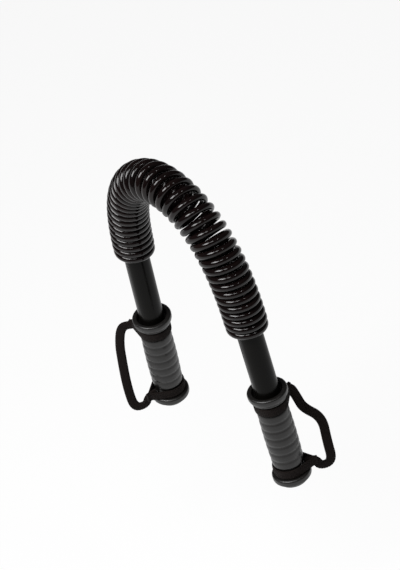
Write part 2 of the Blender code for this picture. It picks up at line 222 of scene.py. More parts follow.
def multiplied(tree, first, second):
    """The product of two values."""
    return add_node(tree, "ShaderNodeMath", {"operation": "MULTIPLY"}, i0=first, i1=second).outputs[0]


def mixed(tree, share, first, second):
    """Two colours mixed by a share."""
    node = add_node(tree, "ShaderNodeMix", {"data_type": "RGBA"}, i0=share)
    for index, colour in ((6, first), (7, second)):
        if isinstance(colour, bpy.types.NodeSocket):
            tree.links.new(colour, node.inputs[index])
        else:
            node.inputs[index].default_value = (*colour, 1.0)
    return node.outputs[2]


def bump(tree, height, distance, strength=1.0, normal=None):
    """A bump of a height in metres."""
    node = add_node(tree, "ShaderNodeBump", Height=height, Distance=distance, Strength=strength)
    if normal:
        tree.links.new(normal, node.inputs["Normal"])
    return node.outputs["Normal"]


def object_place(tree):
    """Object coordinates."""
    return tree.nodes.new("ShaderNodeTexCoord").outputs["Object"]


def new_group(name, inputs, outputs):
    """An empty node group with named sockets, what it reads and what it gives."""
    group = bpy.data.node_groups.new(name, "ShaderNodeTree")
    for in_out, sockets in (("INPUT", inputs), ("OUTPUT", outputs)):
        for socket, kind in sockets.items():
            group.interface.new_socket(name=socket, in_out=in_out, socket_type=f"NodeSocket{kind}")
    return group, group.nodes.new("NodeGroupInput").outputs, group.nodes.new("NodeGroupOutput").inputs


def sprayed_coat():
    """Shared by paint and enamel: orange peel, patches of duller gloss and the dust that lies in them."""
    group, inside, outside = new_group(
        "sprayed coat",
        {
            "Vector": "Vector", "Peel size": "Float", "Peel depth": "Float", "Gloss low": "Float",
            "Gloss high": "Float",
        },
        {"Roughness": "Float", "Dust": "Float", "Normal": "Vector"},
    )
    peel = noise(group, inside["Vector"], inside["Peel size"], 1.0)
    patches = noise(group, inside["Vector"], 38.0, 4.0, 0.6)
    specks = noise(group, inside["Vector"], 1900.0, 2.0)
    dust = multiplied(
        group, remap(group, specks, 0.6, 0.75, 0.0, 1.0), remap(group, patches, 0.45, 0.7, 0.0, 1.0)
    )
    rough = remap(group, patches, 0.35, 0.7, inside["Gloss low"], inside["Gloss high"])
    group.links.new(rough, outside["Roughness"])
    group.links.new(dust, outside["Dust"])
    group.links.new(bump(group, peel, inside["Peel depth"]), outside["Normal"])
    return group


SPRAYED_COAT = sprayed_coat()


def tube_paint():
    """Semi-gloss black spray with fine orange peel and rubs that run along the tube."""
    material, tree, shader = principled("tube paint", (0.004, 0.0037, 0.0032), 0.3)
    shader.inputs["Specular IOR Level"].default_value = 0.1
    place = object_place(tree)
    coat = add_node(
        tree, "ShaderNodeGroup", {"node_tree": SPRAYED_COAT},
        Vector=place, **{"Peel size": 520.0, "Peel depth": 0.000004, "Gloss low": 0.2, "Gloss high": 0.28},
    )
    stretched = add_node(tree, "ShaderNodeMapping", Vector=place, Scale=(900.0, 900.0, 14.0)).outputs[0]
    rubs = remap(tree, noise(tree, stretched, 1.0, 3.0), 0.62, 0.75, 0.0, 0.35)
    dusty = mixed(tree, coat.outputs["Dust"], (0.004, 0.0037, 0.0032), (0.008, 0.0076, 0.0068))
    colour = mixed(tree, rubs, dusty, (0.006, 0.0057, 0.0057))
    tree.links.new(colour, shader.inputs["Base Color"])
    tree.links.new(coat.outputs["Roughness"], shader.inputs["Roughness"])
    tree.links.new(coat.outputs["Normal"], shader.inputs["Normal"])
    return material


def drill_pin_hole(piece):
    """Drills the cross pin's hole through a piece that still stands at the origin."""
    work_on(None)
    bpy.ops.mesh.primitive_cylinder_add(
        vertices=PIN_HOLE_SIDES, radius=PIN_HOLE_D / 2, depth=TUBE_D * 2, location=(0, 0, PIN_HOLE_AT),
        rotation=(math.pi / 2, 0, 0),
    )
    drill = bpy.context.object
    hole = piece.modifiers.new("pin hole", "BOOLEAN")
    hole.object = drill
    hole.operation = "DIFFERENCE"
    apply_modifiers(piece)
    bpy.data.objects.remove(drill, do_unlink=True)


def make_tube(side, material):
    """One handle tube, with deburred rims and the pin's hole drilled across it."""
    outer, inner = TUBE_D / 2, TUBE_D / 2 - TUBE_WALL
    outline = [
        *round_corner(inner + TUBE_EDGE, TUBE_TOP - TUBE_EDGE, TUBE_EDGE, 180, -90, 3),
        *round_corner(outer - TUBE_EDGE, TUBE_TOP - TUBE_EDGE, TUBE_EDGE, 90, -90, 3),
        *round_corner(outer - TUBE_EDGE, TUBE_FOOT + TUBE_EDGE, TUBE_EDGE, 0, -90, 3),
        *round_corner(inner + TUBE_EDGE, TUBE_FOOT + TUBE_EDGE, TUBE_EDGE, -90, -90, 3),
    ]
    tube = turned(f"{side}_tube", outline, TUBE_SIDES)
    drill_pin_hole(tube)
    settle(tube, handle_frame(side), material)
    smooth(tube)
    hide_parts(f"{side}_handle_tube")
    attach(tube, f"{side}_handle")


paint = tube_paint()
for side in ("right", "left"):
    make_tube(side, paint)


# Spring seats and pins
# A turned steel plug sits in the upper end of each tube with a cross pin through both. The wire closes
# round its waist, behind its head. The seat is bare oily steel, and the pin is painted over with the tube.

SEAT_FOOT = 0.1328  # above the middle of the grip
SEAT_GAP = 0.0003
SEAT_SPIGOT_D = 0.0223
SEAT_WAIST_D = 0.0268
SEAT_WAIST = 0.0105
SEAT_HEAD_D = 0.0283
SEAT_HEAD_TOP = 0.1778
SEAT_NOSE = 0.003
SEAT_CENTRE_D = 0.003  # the lathe's centre hole
PIN_D = 0.0054
PIN_EDGE = 0.0004


def turned_steel():
    """Bare steel off the lathe: fine rings round the axis, a brown film of oil and a few dark stains."""
    material, tree, shader = principled("turned steel", (0.46, 0.46, 0.47), 0.35, 1.0)
    place = object_place(tree)
    rings = add_node(tree, "ShaderNodeMapping", Vector=place, Scale=(4.0, 4.0, 3000.0)).outputs[0]
    tool_marks = noise(tree, rings, 1.0, 1.0)
    film = noise(tree, place, 60.0, 4.0, 0.6)
    colour = mixed(tree, remap(tree, film, 0.4, 0.75, 0.0, 0.6), (0.46, 0.46, 0.47), (0.2, 0.16, 0.12))
    tree.links.new(colour, shader.inputs["Base Color"])
    tree.links.new(remap(tree, film, 0.35, 0.7, 0.25, 0.5), shader.inputs["Roughness"])
    tree.links.new(bump(tree, tool_marks, 0.00001), shader.inputs["Normal"])
    return material


def make_seat(side, material):
    """One spring seat: spigot, shoulder on the tube's end, waist, head and the hole for its pin."""
    spigot, waist, head = SEAT_SPIGOT_D / 2, SEAT_WAIST_D / 2, SEAT_HEAD_D / 2
    shoulder = TUBE_TOP + SEAT_GAP
    outline = [
        (0.0, SEAT_HEAD_TOP - SEAT_CENTRE_D / 2), (SEAT_CENTRE_D / 2, SEAT_HEAD_TOP),
        (head - SEAT_NOSE, SEAT_HEAD_TOP), (head, SEAT_HEAD_TOP - SEAT_NOSE),
        (head, shoulder + SEAT_WAIST + head - waist), (waist, shoulder + SEAT_WAIST),
        (waist, shoulder + TUBE_EDGE), (waist - TUBE_EDGE, shoulder),
        (spigot, shoulder), (spigot, SEAT_FOOT + TUBE_EDGE),
        (spigot - TUBE_EDGE, SEAT_FOOT), (0.0, SEAT_FOOT),
    ]
    seat = turned(f"{side}_seat", outline, TUBE_SIDES)
    drill_pin_hole(seat)
    settle(seat, handle_frame(side), material)
    smooth(seat)
    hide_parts(f"{side}_spring_seat")
    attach(seat, f"{side}_handle")


def make_pin(side, material):
    """One cross pin, dressed flush with the tube."""
    work_on(None)
    bpy.ops.mesh.primitive_cylinder_add(
        vertices=PIN_HOLE_SIDES, radius=PIN_D / 2, depth=TUBE_D - PIN_EDGE, location=(0, 0, PIN_HOLE_AT),
        rotation=(math.pi / 2, 0, 0),
    )
    pin = bpy.context.object
    pin.name = pin.data.name = f"{side}_pin"
    edge = pin.modifiers.new("edge", "BEVEL")
    edge.width = PIN_EDGE
    edge.segments = 2
    apply_modifiers(pin)
    bpy.ops.object.transform_apply(location=True, rotation=True, scale=True)
    settle(pin, handle_frame(side), material)
    smooth(pin)
    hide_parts(f"{side}_seat_pin")
    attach(pin, f"{side}_handle")


steel = turned_steel()
for side in ("right", "left"):
    make_seat(side, steel)
    make_pin(side, paint)


# Spring
# One steel wire as thick as a pencil is close wound into nearly thirty-nine turns on a mandrel. The last
# turn at each end is drawn in to close behind the seat. It is dipped in black gloss enamel and baked.

SPRING_OUTER_D = 0.0458
WIRE_D = 0.008
PACKED_WIRE_D = 0.0076  # thinner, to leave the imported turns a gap
END_TURNS = 4  # turns round each seat
FLEX_TURNS = (6, 5, 4, 3, 4, 5, 6)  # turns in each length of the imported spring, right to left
INNER_PITCH = 0.00811  # from turn to turn on the inside of the bend
PITCH_R = 0.018231  # where that pitch is measured, from the centre line
BEND = math.radians(173.0)
BEND_PEAK = 0.65  # how much sharper the middle bends than an even curve would
STRAIGHT_END = 0.0165
SPRING_END = 0.1428  # above the middle of the grip
FIRST_TURN = 0.35  # where the wire starts and stops, in turns from the right foot of the centre line
LAST_TURN = 39.25
TIGHT_TURNS = 1.0
TIGHT_GAP = 0.0004  # between the last turn and the tube
WIRE_TAIL = 0.055  # share of a turn that the wire's cut end runs on for
WIRE_SIDES = 20
WIRE_STEPS = 36  # rings of the wire in one turn
WIRE_END_EDGE = 0.0007
CURVE_STEPS = 4000

COIL_R = (SPRING_OUTER_D - WIRE_D) / 2
TURNS = 2 * END_TURNS + sum(FLEX_TURNS)
SPRING_LENGTH = TURNS * INNER_PITCH + BEND * PITCH_R + PACKED_WIRE_D
FREE_HALF = SPRING_LENGTH / 2 - STRAIGHT_END

curve_s = np.linspace(-SPRING_LENGTH / 2, SPRING_LENGTH / 2, CURVE_STEPS + 1)
curve_share = np.clip(curve_s / FREE_HALF, -1.0, 1.0)
curve_heading = BEND / 2 * (curve_share + BEND_PEAK / math.pi * np.sin(math.pi * curve_share))
curve_step = SPRING_LENGTH / CURVE_STEPS
slopes = np.stack([np.cos(curve_heading), -np.sin(curve_heading)], axis=1)
curve_xz = np.concatenate([[[0.0, 0.0]], np.cumsum((slopes[1:] + slopes[:-1]) / 2 * curve_step, axis=0)])
spring_foot = handle_frame("right") @ Vector((0.0, 0.0, SPRING_END))
curve_xz += np.array([spring_foot.x, spring_foot.z]) - curve_xz[-1]
wound_turns = (
    SPRING_LENGTH / 2 - PACKED_WIRE_D / 2 - curve_s - PITCH_R * (BEND / 2 - curve_heading)
) / INNER_PITCH


def wire_frame(turn):
    """For each number of turns from the right end: the wire's middle, its way out from the centre line, the
    centre line's own way and its heading."""
    held = np.clip(turn, 0.0, TURNS)
    s = np.interp(-held, -wound_turns, curve_s)
    heading = np.interp(s, curve_s, curve_heading)
    x, y, z = np.interp(s, curve_s, curve_xz[:, 0]), np.zeros(len(s)), np.interp(s, curve_s, curve_xz[:, 1])
    middle = np.stack([x, y, z], axis=1)
    inward = np.stack([-np.sin(heading), y, -np.cos(heading)], axis=1)
    along = np.stack([-np.cos(heading), y, np.sin(heading)], axis=1)
    angle = 2 * math.pi * turn[:, None]
    out = inward * np.cos(angle) + np.array([[0.0, 1.0, 0.0]]) * np.sin(angle)
    from_end = np.clip(np.minimum(turn - FIRST_TURN, LAST_TURN - turn) / TIGHT_TURNS, 0.0, 1.0)
    tight = TUBE_D / 2 + TIGHT_GAP + WIRE_D / 2
    radius = tight + (COIL_R - tight) * from_end * from_end * (3 - 2 * from_end)
    return middle + out * radius[:, None], out, along, heading


def wind_wire(name, first, last):
    """A straight close-wound coil, made with Screw from a round of the wire, then laid round the bend."""
    work_on(None)
    bpy.ops.mesh.primitive_circle_add(
        vertices=WIRE_SIDES, radius=WIRE_D / 2, location=(COIL_R, 0, 0), rotation=(math.pi / 2, 0, 0)
    )
    wire = bpy.context.object
    wire.name = wire.data.name = name
    bpy.ops.object.transform_apply(location=True, rotation=True, scale=True)
    screw = wire.modifiers.new("winding", "SCREW")
    screw.angle = 2 * math.pi * (last - first)
    screw.screw_offset = INNER_PITCH * (last - first)
    screw.steps = screw.render_steps = round(WIRE_STEPS * (last - first))
    screw.use_merge_vertices = False
    screw.use_smooth_shade = True
    apply_modifiers(wire)
    points = np.array([vert.co for vert in wire.data.vertices])
    azimuth = np.arctan2(points[:, 1], points[:, 0]) / (2 * math.pi)
    turn = np.round(points[:, 2] / INNER_PITCH - azimuth) + azimuth
    outward = np.hypot(points[:, 0], points[:, 1]) - COIL_R
    upward = points[:, 2] - turn * INNER_PITCH
    middle, out, along, heading = wire_frame(first + turn)
    laid = middle + out * outward[:, None] + along * upward[:, None]
    wire.data.vertices.foreach_set("co", laid.ravel())
    wire.data.update()
    bpy.ops.object.mode_set(mode="EDIT")
    bpy.ops.mesh.select_all(action="SELECT")
    bpy.ops.mesh.fill_holes(sides=0)
    bpy.ops.mesh.select_all(action="SELECT")
    bpy.ops.mesh.normals_make_consistent(inside=False)
    bpy.ops.object.mode_set(mode="OBJECT")
    rub = wire.data.attributes.new("rub", "FLOAT", "POINT")
    rub.data.foreach_set("value", np.abs(upward) / (WIRE_D / 2))
    return wire, heading


def enamel():
    """Black gloss enamel with patches of painted warm reflection, rubbed dull where neighbouring turns rock.
    """
    material, tree, shader = principled("spring enamel", (0.009, 0.007, 0.008), 0.1)
    shader.inputs["Specular IOR Level"].default_value = 0.32
    place = object_place(tree)
    coat = add_node(
        tree, "ShaderNodeGroup", {"node_tree": SPRAYED_COAT},
        Vector=place, **{"Peel size": 200.0, "Peel depth": 0.000001, "Gloss low": 0.1, "Gloss high": 0.13},
    )
    rub = add_node(tree, "ShaderNodeAttribute", {"attribute_name": "rub"}).outputs["Fac"]
    grain = noise(tree, place, 800.0, 3.0)
    worn = multiplied(tree, remap(tree, rub, 0.9, 1.0, 0.0, 1.0), remap(tree, grain, 0.35, 0.6, 0.2, 1.0))
    # Random patches of painted warm reflection tint the black towards brown.
    painted_warm_reflection = remap(tree, noise(tree, place, 45.0, 3.0), 0.35, 0.7, 0.0, 1.0)
    black = mixed(tree, painted_warm_reflection, (0.0035, 0.0018, 0.0019), (0.0075, 0.0035, 0.0032))
    dusty = mixed(tree, coat.outputs["Dust"], black, (0.009, 0.007, 0.007))
    tree.links.new(mixed(tree, worn, dusty, (0.008, 0.006, 0.0055)), shader.inputs["Base Color"])
    rough = add_node(
        tree, "ShaderNodeMath", {"operation": "ADD"},
        i0=coat.outputs["Roughness"], i1=remap(tree, rub, 0.8, 1.0, 0.0, 0.15),
    )
    tree.links.new(rough.outputs[0], shader.inputs["Roughness"])
    tree.links.new(coat.outputs["Normal"], shader.inputs["Normal"])
    return material


spring_nodes = ["spring_right_end", *(f"spring_length_{number}" for number in range(1, 8)), "spring_left_end"]
foot = END_TURNS
seams = [FIRST_TURN - WIRE_TAIL]
for turns in FLEX_TURNS:
    seams.append(foot + turns // 2)
    foot += turns
seams.append(LAST_TURN + WIRE_TAIL)
enamelled = enamel()
for index, (first, last) in enumerate(zip(seams, seams[1:])):
    wire, heading = wind_wire(f"spring_wire_{index + 1}", first, last)
    settle(wire, Matrix.Identity(4), enamelled)
    smooth(wire, 60.0)
    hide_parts(*(spring_nodes[index:index + 1] if index < 7 else spring_nodes[7:]))
    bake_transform(wire)


# Guard collars
# A flared ring of moulded rubber, pushed down the tube on to the top of the grip. Its mouth stands clear
# of the tube, its lip is rolled, and the mould has left a fine parting line on both sides.

COLLAR_TOP = 0.0638  # above the middle of the grip
COLLAR_D = 0.0444
COLLAR_HEIGHT = 0.0125
COLLAR_WAIST_D = 0.0395
COLLAR_MOUTH_D = 0.033
COLLAR_MOUTH_DEPTH = 0.0065
COLLAR_MOUTH_ROUND = 0.0012
COLLAR_MOUTH_TAPER = 0.0004
COLLAR_BELLY = ((0.0001, 0.45), (0.0008, 0.62))  # (in from its widest, share of its height)
COLLAR_LIP = 0.0024
COLLAR_SIDES = 120
PARTING_LINE = 0.00025
PARTING_WIDTH = 0.0004  # half the width of the line
RUBBER_GAP = 0.0003


def moulded_grain():
    """Shared by the rubber and plastic pieces: an eroded mould's fine grain, pale dust and soft patches."""
    group, inside, outside = new_group(
        "moulded grain",
        {"Vector": "Vector", "Grain size": "Float", "Grain depth": "Float", "Dust amount": "Float"},
        {"Dust": "Float", "Patch": "Float", "Normal": "Vector"},
    )
    grain = noise(group, inside["Vector"], inside["Grain size"], 2.0, 0.6)
    patch = noise(group, inside["Vector"], 70.0, 4.0, 0.6)
    dust = multiplied(group, remap(group, grain, 0.48, 0.72, 0.0, 1.0), inside["Dust amount"])
    spread = multiplied(group, dust, remap(group, patch, 0.35, 0.7, 0.2, 1.0))
    group.links.new(spread, outside["Dust"])
    group.links.new(patch, outside["Patch"])
    group.links.new(bump(group, grain, inside["Grain depth"]), outside["Normal"])
    return group


MOULDED_GRAIN = moulded_grain()


def moulded(name, colour, dusty, grain, low, high):
    """A moulded material: its colour, the colour of the dust on it, its grain and its range of roughness."""
    material, tree, shader = principled(name, colour, low)
    surface = add_node(
        tree, "ShaderNodeGroup", {"node_tree": MOULDED_GRAIN},
        Vector=object_place(tree),
        **{"Grain size": grain[0], "Grain depth": grain[1], "Dust amount": grain[2]},
    )
    tree.links.new(mixed(tree, surface.outputs["Dust"], colour, dusty), shader.inputs["Base Color"])
    tree.links.new(remap(tree, surface.outputs["Patch"], 0.3, 0.7, low, high), shader.inputs["Roughness"])
    tree.links.new(surface.outputs["Normal"], shader.inputs["Normal"])
    return material


def raise_parting_line(piece, height):
    """Moves the columns of points at the front and the back outwards, as the joint of a mould leaves them."""
    for vert in piece.data.vertices:
        reach = math.hypot(vert.co.x, vert.co.y)
        if reach > TUBE_D / 2 + PARTING_LINE + RUBBER_GAP and abs(vert.co.x) < PARTING_WIDTH:
            vert.co.x *= (reach + height) / reach
            vert.co.y *= (reach + height) / reach


rubber = moulded(
    "moulded rubber", (0.008, 0.0072, 0.0068), (0.03, 0.027, 0.025), (2400.0, 0.00002, 0.4), 0.3, 0.42
)


def make_collar(side):
    """One guard collar."""
    bore = TUBE_D / 2 + RUBBER_GAP
    mouth, lip, blend = COLLAR_MOUTH_D / 2, COLLAR_LIP, COLLAR_MOUTH_ROUND
    rim, foot = COLLAR_TOP, COLLAR_TOP - COLLAR_HEIGHT
    floor = rim - COLLAR_MOUTH_DEPTH
    outline = [
        (bore, floor), *round_corner(mouth - COLLAR_MOUTH_TAPER - blend, floor + blend, blend, -90, 90, 3),
        *round_corner(mouth + lip * 0.75, rim - lip * 0.75, lip * 0.75, 180, -90, 5),
        *round_corner(COLLAR_D / 2 - lip, rim - lip, lip, 90, -90, 6),
        *((COLLAR_D / 2 - inward, rim - COLLAR_HEIGHT * share) for inward, share in COLLAR_BELLY),
        *round_corner(COLLAR_WAIST_D / 2 - lip, foot + lip, lip, 15, -105, 6),
        (bore, foot),
    ]
    collar = turned(f"{side}_collar", outline, COLLAR_SIDES)
    raise_parting_line(collar, PARTING_LINE)
    settle(collar, handle_frame(side), rubber)
    smooth(collar)
    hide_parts(f"{side}_guard_collar")
    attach(collar, f"{side}_handle")


for side in ("right", "left"):
    make_collar(side)


# Hand grips
# A rubber sleeve moulded in one piece: a plain neck at each end for a strap eye, a barrel with seven
# rounded ribs swelling to the middle, and a wide flange at its lower end.

GRIP_TOP = 0.051
GRIP_NECK_D = 0.032
GRIP_NECK = 0.0125
GRIP_BARREL_D = 0.0345
GRIP_BARREL = 0.077
GRIP_SWELL = 0.0008
GRIP_RIBS = 7
GRIP_RIB_STEPS = 8
GRIP_CREASE = 0.04  # between ribs, as a share of a rib's length at each of its ends
GRIP_GROOVE = 0.0008
GRIP_FLANGE_D = 0.0436
GRIP_FLANGE = 0.0085
GRIP_FLANGE_ROUND = 0.0026
GRIP_EDGE = 0.0006
GRIP_FILLET = 0.0008  # where the lower neck runs out into the flange
GRIP_PARTING = 0.00015
GRIP_SIDES = 120


def make_grip(side):
    """One grip, from its upper neck to its flange."""
    bore, neck, barrel = TUBE_D / 2 + RUBBER_GAP, GRIP_NECK_D / 2, GRIP_BARREL_D / 2
    rib = GRIP_BARREL / GRIP_RIBS
    shoulder = GRIP_TOP - GRIP_NECK
    outline = [(bore, GRIP_TOP), *round_corner(neck - GRIP_EDGE, GRIP_TOP - GRIP_EDGE, GRIP_EDGE, 90, -90, 2)]
    outline.append((neck, shoulder))
    for index in range(GRIP_RIBS):
        for step in range(GRIP_RIB_STEPS + 1):
            share = step / GRIP_RIB_STEPS
            swell = GRIP_SWELL * math.sin(math.pi * (index + share) / GRIP_RIBS)
            crown = GRIP_GROOVE * (1 - abs(2 * share - 1) ** 4)
            height = shoulder - rib * (index + GRIP_CREASE + (1 - 2 * GRIP_CREASE) * share)
            outline.append((barrel - GRIP_GROOVE + swell + crown, height))
    waist = shoulder - GRIP_BARREL
    flange_top = waist - GRIP_NECK
    flange, blend = GRIP_FLANGE_D / 2, GRIP_FLANGE_ROUND
    outline += [(neck, waist), (neck, flange_top + GRIP_FILLET), (neck + GRIP_FILLET, flange_top)]
    outline += round_corner(flange - blend, flange_top - blend, blend, 90, -90, 6)
    outline += round_corner(flange - blend, flange_top - GRIP_FLANGE + blend, blend, 0, -90, 6)
    outline.append((bore, flange_top - GRIP_FLANGE))
    grip = turned(f"{side}_grip", outline, GRIP_SIDES)
    raise_parting_line(grip, GRIP_PARTING)
    settle(grip, handle_frame(side), rubber)
    smooth(grip, 40.0)
    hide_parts(f"{side}_hand_grip")
    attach(grip, f"{side}_handle")


for side in ("right", "left"):
    make_grip(side)


# End caps
# A moulded plastic plug closes the foot of each tube: a flat head with a chamfered edge, and a spigot
# with holding ribs inside the tube.

CAP_TOP = -0.0598
CAP_D = 0.034
CAP_HEAD = 0.0042
CAP_EDGE = 0.0012
CAP_SPIGOT_D = 0.0215
CAP_SPIGOT = 0.014
CAP_RIB = 0.0004
CAP_RIB_LEAD = 0.0015
CAP_RIB_BACK = 0.0009
CAP_GATE_D = 0.0022
CAP_GATE_DEPTH = 0.0002
CAP_SIDES = 96

plastic = moulded(
    "cap plastic", (0.018, 0.018, 0.019), (0.05, 0.05, 0.05), (1500.0, 0.00002, 0.25), 0.34, 0.48
)


def make_cap(side):
    """One end cap, with the small round mark of the mould's gate in the middle of its face."""
    foot = CAP_TOP - CAP_HEAD
    head, spigot = CAP_D / 2, CAP_SPIGOT_D / 2
    gate = CAP_GATE_D / 2
    outline = [(0.0, foot + CAP_GATE_DEPTH), (gate * 0.8, foot + CAP_GATE_DEPTH), (gate, foot)]
    outline += round_corner(head - CAP_EDGE, foot + CAP_EDGE, CAP_EDGE, -90, 90, 4)
    outline += round_corner(head - CAP_EDGE / 2, CAP_TOP - CAP_EDGE / 2, CAP_EDGE / 2, 0, 90, 3)
    outline.append((spigot, CAP_TOP))
    for rib in (1, 2):
        height = CAP_TOP + CAP_SPIGOT * rib / 3
        outline += [
            (spigot, height - CAP_RIB_LEAD), (spigot + CAP_RIB, height), (spigot, height + CAP_RIB_BACK)
        ]
    outline += [(spigot - CAP_EDGE, CAP_TOP + CAP_SPIGOT), (0.0, CAP_TOP + CAP_SPIGOT)]
    cap = turned(f"{side}_cap", outline, CAP_SIDES)
    settle(cap, handle_frame(side), plastic)
    smooth(cap)
    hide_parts(f"{side}_end_cap")
    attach(cap, f"{side}_handle")


for side in ("right", "left"):
    make_cap(side)


# Wrist straps
# Soft tubular webbing with a cross rib, passed round both necks of the grip and sewn back on itself. It
# stands off the grip as a loop, and its eyes turn freely on the rubber.

STRAP_WIDTH = 0.0105
STRAP_THICK = 0.0038
# Corners of each strap's route, as (out from the grip's axis, down from the upper eye), then the corners
# that both straps have, down from the lower eye
STRAP_UPPER = {
    "right": ((0.029, -0.001), (0.032, 0.015), (0.034, 0.030), (0.050, 0.050)),
    "left": ((0.029, -0.0005), (0.040, 0.002), (0.0445, 0.022), (0.045, 0.045)),
}
STRAP_LOWER = ((0.0465, -0.012), (0.046, 0.0125), (0.0315, 0.0125), (0.029, 0.0005))
STRAP_ROUNDING = 5  # how often the corners of a strap's route are cut
STRAP_LEAVES = {"right": math.radians(95.0), "left": math.radians(207.0)}
STRAP_TURN = {"right": math.radians(-45.0), "left": math.radians(61.0)}
STRAP_RIB = 0.002
STRAP_RIB_DEPTH = 0.0003
STRAP_THREAD = 0.0014
STRAP_SIDES = 24
STRAP_FLAT = (0.55, 0.75)  # powers that square up the oval across its width and its thickness
EYE_LAYER = 0.0019  # one layer of the webbing
EYE_GAP = 0.0007  # between an eye and the neck
EYE_OPENS = math.radians(52.0)  # half the angle where the eye leaves the neck
EYE_STEPS = 120
EYE_TAIL = ((0.0025, 1.0), (0.001, 1.0), (-0.0015, 1.25))  # (beyond the tip, in halves of a layer)
UPPER_EYE = GRIP_TOP - GRIP_NECK / 2
LOWER_EYE = GRIP_TOP - GRIP_NECK * 1.5 - GRIP_BARREL
ROUTE_STEPS = 400
STITCH_SIZE = (0.0014, 0.0005, 0.0005)
STITCH_STEP = 0.0018
STITCH_LIFT = 0.00005
STITCHES = 5  # in a row
STITCH_ROWS = 2
STITCH_ROW_STEP = 0.0022
STITCH_ROW_BACK = 0.0014  # from the eye's tip to the first row


def ribbed_band(name, length, width, thick):
    """A straight band along +X: one rib is modelled from an oval and repeated, then the ends are closed."""
    work_on(None)
    bpy.ops.mesh.primitive_circle_add(vertices=STRAP_SIDES, radius=1.0, rotation=(0, math.pi / 2, 0))
    band = bpy.context.object
    band.name = band.data.name = name
    bpy.ops.object.transform_apply(location=True, rotation=True, scale=True)
    half_width, half_thick = width / 2, thick / 2
    for vert in band.data.vertices:
        angle = math.atan2(vert.co.z, vert.co.y)
        flat = abs(math.cos(angle)) ** STRAP_FLAT[0] * half_width
        high = abs(math.sin(angle)) ** STRAP_FLAT[1] * half_thick
        vert.co = (0.0, math.copysign(flat, math.cos(angle)), math.copysign(high, math.sin(angle)))
    count = round(length / STRAP_RIB)
    step = length / count
    bpy.ops.object.mode_set(mode="EDIT")
    bpy.ops.mesh.select_all(action="SELECT")
    for swell in (1, 1, -1, -1):
        bpy.ops.mesh.extrude_edges_move(TRANSFORM_OT_translate={"value": (step / 4, 0, 0)})
        grown = (1 + STRAP_RIB_DEPTH / half_thick / 2) ** swell
        bpy.ops.transform.resize(value=(1, grown ** 0.25, grown), center_override=(0, 0, 0))
    bpy.ops.object.mode_set(mode="OBJECT")
    ribs = band.modifiers.new("ribs", "ARRAY")
    ribs.use_relative_offset = False
    ribs.use_constant_offset = True
    ribs.constant_offset_displace = (step, 0, 0)
    ribs.count = count
    ribs.use_merge_vertices = True
    ribs.merge_threshold = 0.00002
    apply_modifiers(band)
    bpy.ops.object.mode_set(mode="EDIT")
    bpy.ops.mesh.select_all(action="SELECT")
    bpy.ops.mesh.fill_holes(sides=0)
    bpy.ops.mesh.select_all(action="SELECT")
    bpy.ops.mesh.normals_make_consistent(inside=False)
    bpy.ops.object.mode_set(mode="OBJECT")
    return band


def lay(band, points, wide, length):
    """Lays a straight band along a route, flat across the direction wide, with a UV map that follows it."""
    straight = np.array([vert.co for vert in band.data.vertices])
    map_of = band.data.uv_layers.new(name="along")
    for loop in band.data.loops:
        x, y, _ = straight[loop.vertex_index]
        map_of.data[loop.index].uv = (x, y)
    steps = np.linalg.norm(np.diff(points, axis=0), axis=1)
    lengths = np.concatenate([[0.0], np.cumsum(steps)])
    at = np.clip(straight[:, 0] / length, 0.0, 1.0) * lengths[-1]
    ahead = np.gradient(points, lengths, axis=0)
    ahead /= np.linalg.norm(ahead, axis=1)[:, None]
    wide = wide - ahead * (wide * ahead).sum(axis=1)[:, None]
    wide /= np.linalg.norm(wide, axis=1)[:, None]
    thick = np.cross(ahead, wide)
    middle, sideways, up = [
        np.stack([np.interp(at, lengths, part[:, axis]) for axis in range(3)], axis=1)
        for part in (points, wide, thick)
    ]
    laid = middle + sideways * straight[:, 1:2] + up * straight[:, 2:3]
    band.data.vertices.foreach_set("co", laid.ravel())
    band.data.update()


def strap_route(side):
    """The strap's middle from eye to eye, with its corners cut until it is smooth, turning round the grip."""
    eye = GRIP_NECK_D / 2 + EYE_GAP + EYE_LAYER / 2
    corners = [(eye, UPPER_EYE)]
    corners += [(reach, UPPER_EYE - drop) for reach, drop in STRAP_UPPER[side]]
    corners += [(reach, LOWER_EYE - drop) for reach, drop in STRAP_LOWER]
    corners.append((eye, LOWER_EYE))
    route = np.array(corners)
    for _ in range(STRAP_ROUNDING):
        starts, ends = route[:-1], route[1:]
        cuts = np.stack([0.75 * starts + 0.25 * ends, 0.25 * starts + 0.75 * ends], axis=1)
        route = np.vstack([route[:1], cuts.reshape(-1, 2), route[-1:]])
    lengths = np.concatenate([[0.0], np.cumsum(np.linalg.norm(np.diff(route, axis=0), axis=1))])
    at = np.linspace(0.0, lengths[-1], ROUTE_STEPS)
    reach, height = np.interp(at, lengths, route[:, 0]), np.interp(at, lengths, route[:, 1])
    angle = STRAP_LEAVES[side] + STRAP_TURN[side] * at / lengths[-1]
    points = np.stack([reach * np.cos(angle), reach * np.sin(angle), height], axis=1)
    across = np.stack([-np.sin(angle), np.cos(angle), np.zeros(len(angle))], axis=1)
    ahead = np.gradient(points, axis=0)
    return points, np.cross(ahead, across)


